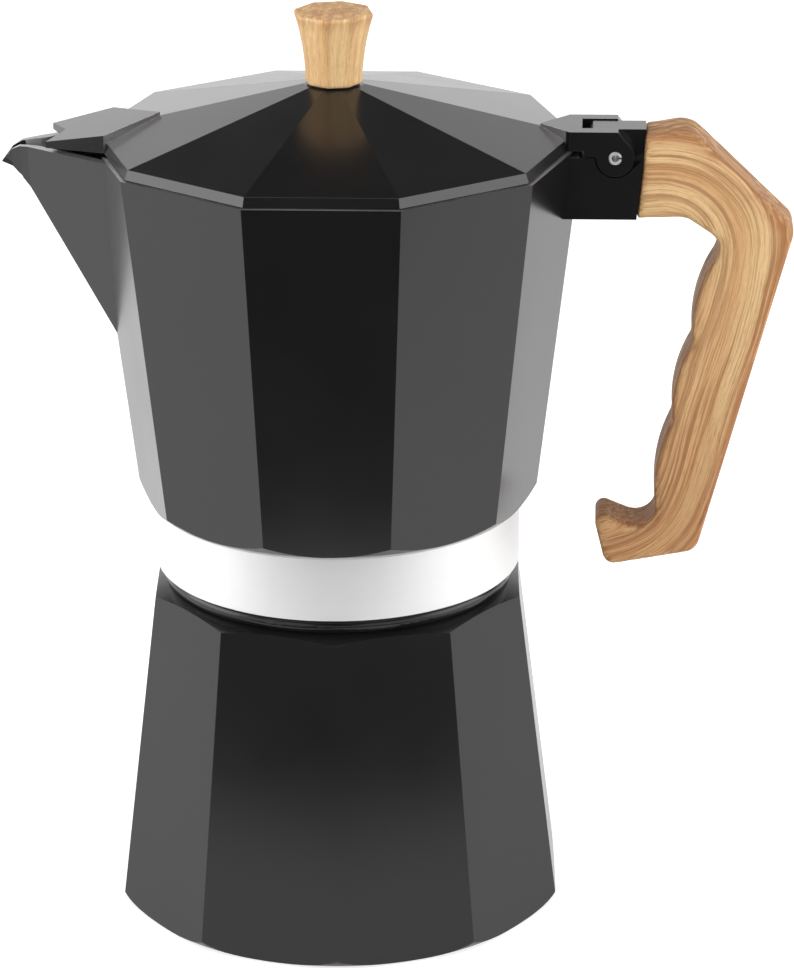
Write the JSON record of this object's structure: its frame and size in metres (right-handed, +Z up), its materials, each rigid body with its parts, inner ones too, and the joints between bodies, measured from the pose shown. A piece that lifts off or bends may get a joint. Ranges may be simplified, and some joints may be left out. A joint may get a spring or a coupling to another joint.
{
  "type": "moka pot",
  "caption": "Ten-sided stovetop moka pot with a black painted boiler and jug, hinged lid, bare metal band, moulded handle and knob.",
  "frame": {"origin": "centre of the boiler's foot, on the surface that the pot stands on", "axes": "X runs from the pot's axis towards the handle and the spout points to -X; Y runs sideways along the lid's hinge pin; Z is up along the pot's axis"},
  "size_m": [0.2003, 0.1208, 0.2371],
  "materials": {
    "black_paint": "semi-gloss paint",
    "bare_aluminium": "fine turned",
    "steel": "plain",
    "brass": "turned",
    "seal_rubber": "matt",
    "wood_print": "satin wood-effect moulding"
  },
  "bodies": {
    "boiler": {"boiler": "black_paint", "valve_body": "brass", "valve_washer": "seal_rubber", "valve_spring": "steel", "valve_cap": "brass"},
    "valve_pin": {"valve_pin": "steel"},
    "funnel": {"funnel_basket": "bare_aluminium", "funnel_tube": "bare_aluminium", "funnel_sieve": "bare_aluminium"},
    "seal": {"gasket": "seal_rubber"},
    "plate": {"filter_plate": "bare_aluminium"},
    "top": {"upper_chamber": "black_paint", "threaded_collar": "bare_aluminium", "column": "bare_aluminium", "column_cap": "bare_aluminium", "hinge_pin": "steel", "handle": "wood_print", "handle_screw": "steel"},
    "lid": {"lid": "black_paint", "knob_washer": "steel", "knob": "wood_print", "knob_screw": "steel"}
  },
  "joints": [
    {"name": "valve_pop", "type": "slide", "parent": "boiler", "child": "valve_pin", "axis": [-0.3397, 0.9332, 0.1172], "range_m": [0, 0.0008]},
    {"name": "funnel_lift", "type": "slide", "parent": "boiler", "child": "funnel", "axis": [0, 0, 1], "range_m": [0, 0.1]},
    {"name": "top_lift", "type": "slide", "parent": "funnel", "child": "seal", "axis": [0, 0, 1], "range_m": [0, 0.06]},
    {"name": "top_rise", "type": "slide", "parent": "seal", "child": "plate", "axis": [0, 0, 1], "range_m": [0, 0.0025]},
    {"name": "top_turn", "type": "hinge", "parent": "plate", "child": "top", "pos_m": [0, 0, 0.1], "axis": [0, 0, 1], "range_deg": [0, 360]},
    {"name": "lid_hinge", "type": "hinge", "parent": "top", "child": "lid", "pos_m": [0.0707, 0, 0.2017], "axis": [0, 1, 0], "range_deg": [0, 88]}
  ],
  "couplings": [
    {"joint": "top_rise", "follows": "top_turn", "m_per_rad": 0.00039789}
  ]
}
